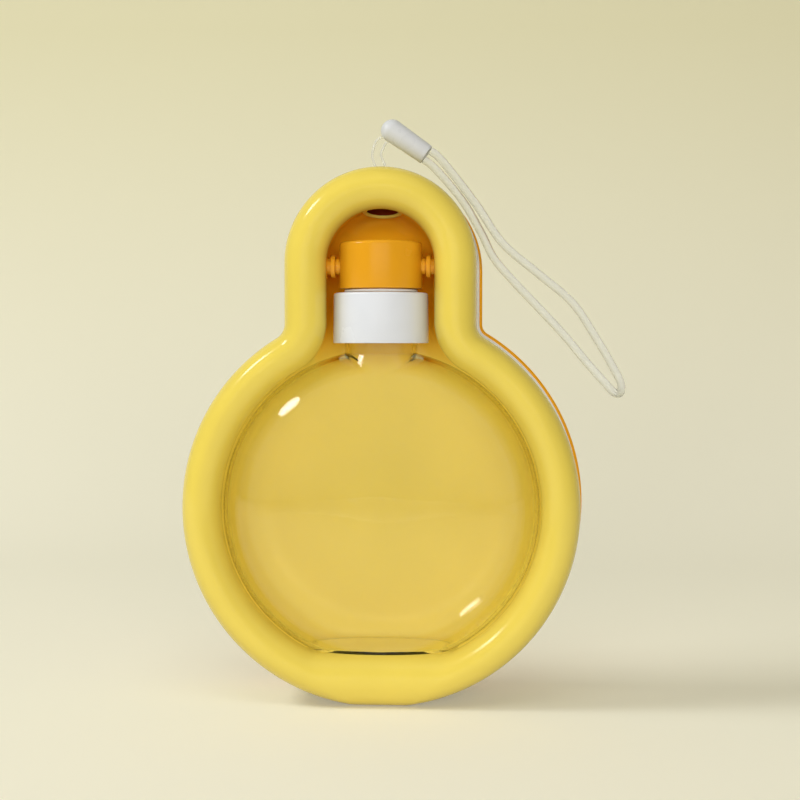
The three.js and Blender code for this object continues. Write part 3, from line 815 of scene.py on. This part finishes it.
def eyelet_ring():
    """The eyelet, turned and then sheared at its rim, which hangs lower at the back."""
    bend = LIP_Z + LIP_ROUND
    flange = LIP_Z + FLANGE_HEIGHT
    profile = (
        [(EYELET_BORE, bend)]
        + arc(EYELET_BORE + LIP_ROUND, bend, LIP_ROUND, 180, 270, 4)
        + arc(FLANGE_R - LIP_ROUND, bend, LIP_ROUND, 270, 360, 4)
        + [(FLANGE_R, flange), (EYELET_R, flange), (EYELET_R, SHOULDER_Z), (SPOUT_R, SHOULDER_Z)]
        + [(SPOUT_R, SPOUT_TOP - SPOUT_BEVEL), (SPOUT_R - SPOUT_BEVEL, SPOUT_TOP)]
        + [(STRING_HOLE_R, SPOUT_TOP), (STRING_HOLE_R, PLATE_Z), (EYELET_BORE, PLATE_Z)]
    )
    ring = turned("cord_eyelet_ring", profile, 96, EYELET_AXIS)
    for vert in ring.data.vertices:
        if vert.co.z < (LIP_Z + LIP_SHEARED) * MM:
            vert.co.z -= LIP_SLOPE * (vert.co.y - EYELET_Y * MM)
    return ring


eyelet = eyelet_ring()
stand_for(eyelet, "bowl", EYELET_PAINTED_LIGHT_AND_SHADE, "yellow_plastic", "cord_eyelet")


# Bottle

def disc_profile(radius, half):
    power = 2 / DISC_POWER
    points = []
    for i in range(DISC_STEPS + 1):
        a = math.pi * (i / DISC_STEPS - 0.5)
        c, s = math.cos(a), math.sin(a)
        points.append((radius * max(c, 0) ** power, half * math.copysign(abs(s) ** power, s)))
    points[0], points[-1] = (0, -half), (0, half)
    return points


def bottle_form(name, inset, neck_r, cone_r, top):
    """The domed disc cut flat at its base, with the cone and neck on it, all an inset inside the bottle's own."""
    facing = at(0, AXIS_Y, BOWL_Z) @ Matrix.Rotation(-math.pi / 2, 4, "X")
    profile = disc_profile(BOTTLE_R - inset, BOTTLE_HALF - inset)
    disc = turned(name, profile, DISC_SEGMENTS, facing, closed=False)
    bm = bmesh.new()
    bm.from_mesh(disc.data)
    cut = bmesh.ops.bisect_plane(
        bm,
        geom=bm.verts[:] + bm.edges[:] + bm.faces[:],
        plane_co=(0, 0, (BASE_Z + inset) * MM),
        plane_no=(0, 0, -1),
        clear_outer=True,
        dist=1e-6,
    )
    rim = [e for e in cut["geom_cut"] if isinstance(e, bmesh.types.BMEdge)]
    bmesh.ops.contextual_create(bm, geom=rim)
    bmesh.ops.recalc_face_normals(bm, faces=bm.faces)
    bm.to_mesh(disc.data)
    bm.free()
    foot = NECK_FOOT - CONE_DEPTH
    neck = turned(
        "neck",
        [(0, foot), (cone_r, foot), (neck_r + NECK_FLARE, NECK_FOOT - 2 * NECK_FLARE)]
        + [(neck_r, NECK_FOOT), (neck_r, top), (0, top)],
        128,
        NECK_AXIS,
        closed=False,
    )
    return join(disc, neck, "UNION")


bottle = bottle_form("bottle_body", 0, NECK_R, CONE_R, NECK_TOP)
inside = bottle_form("inside", BOTTLE_WALL, NECK_BORE, CONE_BORE, NECK_TOP + NECK_OVERCUT)
join(bottle, inside, "DIFFERENCE", BOTTLE_SHARP)
stand_for(bottle, "bottle_unit", CLEAR, "clear_plastic", "bottle")
bottle.visible_shadow = False
bottle.visible_diffuse = False


# Collar, cap and pivot

collar = turned(
    "screw_collar_sleeve",
    [(COLLAR_BORE, COLLAR_BOTTOM + COLLAR_LEAD_RISE), (COLLAR_BORE + COLLAR_LEAD, COLLAR_BOTTOM)]
    + arc(COLLAR_R - COLLAR_EDGE, COLLAR_BOTTOM + COLLAR_EDGE, COLLAR_EDGE, -90, 0, 4)
    + arc(COLLAR_R - COLLAR_TAPER - COLLAR_ROUND, COLLAR_TOP - COLLAR_ROUND, COLLAR_ROUND, 0, 90, 8)
    + [(SWIVEL_BORE, COLLAR_TOP), (SWIVEL_BORE, SPIGOT_BOTTOM), (COLLAR_BORE, SPIGOT_BOTTOM)],
    128,
    NECK_AXIS,
)
stand_for(collar, "collar", WHITE, "white_plastic", "screw_collar")

swivel = turned(
    "swivel_ring_band",
    [(SWIVEL_BORE, SWIVEL_BOTTOM), (NECK_R - SWIVEL_BEVEL, SWIVEL_BOTTOM)]
    + [(NECK_R, SWIVEL_BOTTOM + SWIVEL_BEVEL), (NECK_R, SWIVEL_TOP - SWIVEL_BEVEL)]
    + [(NECK_R - SWIVEL_BEVEL, SWIVEL_TOP), (SWIVEL_BORE, SWIVEL_TOP)],
    96,
    NECK_AXIS,
)
stand_for(swivel, "bottle_unit", RUBBER, "seal_rubber", "swivel_ring")

cap = turned(
    "pivot_cap_body",
    [(SPIGOT_BORE, SPIGOT_BOTTOM), (SPIGOT_R, SPIGOT_BOTTOM), (SPIGOT_R, CAP_BOTTOM)]
    + arc(CAP_R - CAP_EDGE, CAP_BOTTOM + CAP_EDGE, CAP_EDGE, -90, 0, 4)
    + arc(CAP_R - CAP_ROUND, CAP_TOP - CAP_ROUND, CAP_ROUND, 0, 90, 10)
    + arc(OUTLET_R + CAP_EDGE, CAP_TOP - CAP_EDGE, CAP_EDGE, 90, 180, 4)
    + [(OUTLET_R, VALVE_SEAT), (SPIGOT_BORE, VALVE_SEAT)],
    128,
    NECK_AXIS,
)
for side in (1, -1):
    join(cap, plug("pin_bore", PIN_BORE_R, PIN_BORE_IN, PIN_BORE_OUT, 48, along_x(side)), "DIFFERENCE")
stand_for(cap, "bottle_unit", ORANGE, "orange_plastic", "pivot_cap")

for side, word in ((1, "right"), (-1, "left")):
    pin = turned(
        word + "_pivot_pin_turned",
        [(0, PIN_IN), (PIN_R, PIN_IN), (PIN_R, GROOVE_IN)]
        + [(GROOVE_R, GROOVE_IN + GROOVE_SLOPE), (GROOVE_R, GROOVE_OUT - GROOVE_SLOPE)]
        + [(PIN_R, GROOVE_OUT), (PIN_R, PIN_OUT - PIN_BEVEL), (PIN_R - PIN_BEVEL, PIN_OUT), (0, PIN_OUT)],
        64,
        along_x(side),
        closed=False,
    )
    stand_for(pin, "bottle_unit", ORANGE, "orange_plastic", word + "_pivot_pin")
    washer = turned(
        word + "_pivot_washer_turned",
        [(WASHER_BORE, WASHER_IN), (WASHER_R - WASHER_BEVEL, WASHER_IN)]
        + [(WASHER_R, WASHER_IN + WASHER_BEVEL), (WASHER_R, WASHER_OUT - WASHER_BEVEL)]
        + [(WASHER_R - WASHER_BEVEL, WASHER_OUT), (WASHER_BORE, WASHER_OUT)],
        64,
        along_x(side),
    )
    stand_for(washer, "bottle_unit", ORANGE, "orange_plastic", word + "_pivot_washer")
    dress(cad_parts[word + "_pivot_bush"], AMBER)

for node, look in (
    ("neck_gasket", RUBBER),
    ("outlet_valve", RUBBER),
    ("valve_retainer", WHITE),
    ("lanyard_bead", MILKY),
):
    dress(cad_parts[node], look)


# Stage and light, in metres

FLOOR_FRONT = -1.6
BEND_Y = 0.35
BEND_R = 0.7
WALL_TOP = 2.6
STAGE_HALF = 8.0
# Painted shade: the paper turns darker and yellower up the wall.
PAPER_LOW = linear(226, 223, 206)
PAPER_HIGH = linear(212, 207, 174)
PAPER_HEIGHT = 0.45
# Painted shade: the paper darkens towards the camera, a fall-off of the lamps' light, milder where it is seen.
PAINTED_FALLOFF_SPAN = (-1.1, -0.2)
PAINTED_FALLOFF_LOW = 0.12
SEEN_FALLOFF_LOW = 0.55
PAPER_LIFT = 0.3
SURROUND = (1, 0.88, 0.55)
SURROUND_STRENGTH = 0.17
SURROUND_SEEN = linear(219, 214, 180)
COOL = (0.95, 0.98, 1)
WARM = (1, 0.98, 0.95)
MILD = (1, 0.99, 0.96)


def backdrop():
    """A pale floor that runs up into a wall behind the object."""
    profile = [(FLOOR_FRONT, 0.0), (BEND_Y, 0.0)]
    profile += [(y, z + BEND_R) for y, z in arc(BEND_Y, 0, BEND_R, -90, 0, 40)]
    profile += [(BEND_Y + BEND_R, WALL_TOP)]
    bm = bmesh.new()
    rows = [[bm.verts.new((x, y, z)) for x in (-STAGE_HALF, STAGE_HALF)] for y, z in profile]
    for a, b in zip(rows, rows[1:]):
        bm.faces.new((a[0], a[1], b[1], b[0]))
    return from_bmesh("backdrop", bm, STAGE_SHARP)


def light_path(tree):
    """The kinds of ray, and the ones that come from the camera straight or through the bottle."""
    rays = tree.nodes.new("ShaderNodeLightPath").outputs
    return rays, calc(tree, "MAXIMUM", rays["Is Camera Ray"], rays["Is Transmission Ray"])


def backdrop_paper():
    """Paper with a soft blend up the wall to a darker, yellower tone, a painted shade. Towards the camera it is
    darker, a painted fall-off of the lamps' light, but less so where it is seen, and it glows a little where it is
    seen or mirrored."""
    made, shader = material("backdrop_paper")
    tree = made.node_tree
    where = axes(tree)
    color = blended(tree, ranged(tree, where["Z"], 0, PAPER_HEIGHT), (PAPER_LOW, PAPER_HIGH))
    front = ranged(tree, where["Y"], *PAINTED_FALLOFF_SPAN, low=PAINTED_FALLOFF_LOW, ease=True)
    rays, through = light_path(tree)
    painted_falloff = calc(tree, "MAXIMUM", front, calc(tree, "MULTIPLY", through, SEEN_FALLOFF_LOW))
    tone = worked(tree, "ShaderNodeVectorMath", "SCALE", color)
    tree.links.new(painted_falloff, tone.inputs["Scale"])
    for socket in ("Base Color", "Emission Color"):
        tree.links.new(tone.outputs["Vector"], shader.inputs[socket])
    shown = calc(tree, "MAXIMUM", through, rays["Is Glossy Ray"])
    tree.links.new(calc(tree, "MULTIPLY", shown, PAPER_LIFT), shader.inputs["Emission Strength"])
    shader.inputs["Roughness"].default_value = 0.9
    shader.inputs["Specular IOR Level"].default_value = 0.1
    return made


def softbox(name, place, target, size, power, color, mirrored=False):
    """A lamp. The one that is mirrored in the bottle and the rim is round, the others only light."""
    data = bpy.data.lights.new(name, "AREA")
    data.shape = "ELLIPSE" if mirrored else "RECTANGLE"
    data.size, data.size_y = size
    data.energy = power
    data.color = color
    lamp = bpy.data.objects.new(name, data)
    scene.collection.objects.link(lamp)
    lamp.location = place
    aim(lamp, target)
    lamp.visible_glossy = mirrored
    lamp.visible_transmission = mirrored


def studio():
    """A dim warm surround, which is pale where it is seen."""
    world = bpy.data.worlds.new("studio")
    world.use_nodes = True
    tree = world.node_tree
    glow = tree.nodes["Background"]
    glow.inputs["Color"].default_value = (*SURROUND, 1)
    glow.inputs["Strength"].default_value = SURROUND_STRENGTH
    pale = tree.nodes.new("ShaderNodeBackground")
    pale.inputs["Color"].default_value = (*SURROUND_SEEN, 1)
    mix = tree.nodes.new("ShaderNodeMixShader")
    _, through = light_path(tree)
    for socket, source in zip(mix.inputs, (through, glow.outputs[0], pale.outputs[0])):
        tree.links.new(source, socket)
    tree.links.new(mix.outputs[0], tree.nodes["World Output"].inputs["Surface"])
    return world


stage = backdrop()
dress(stage, backdrop_paper())
softbox("key", (-0.9, -0.32, 0.9), (0, 0, 0.1), size=(0.28, 0.25), power=2.4, color=COOL, mirrored=True)
softbox("front_fill", (0.05, -1.7, 0.3), (0, 0, 0.14), size=(1.6, 0.56), power=19.3, color=WARM)
softbox("top_fill", (0, -0.8, 1.6), (0, 0, 0), size=(1.2, 0.7), power=5.0, color=MILD)
softbox("side", (-1.9, -0.2, 1.9), (0, 0, 0.05), size=(0.6, 0.6), power=21.0, color=COOL)
scene.world = studio()

bpy.context.view_layer.update()
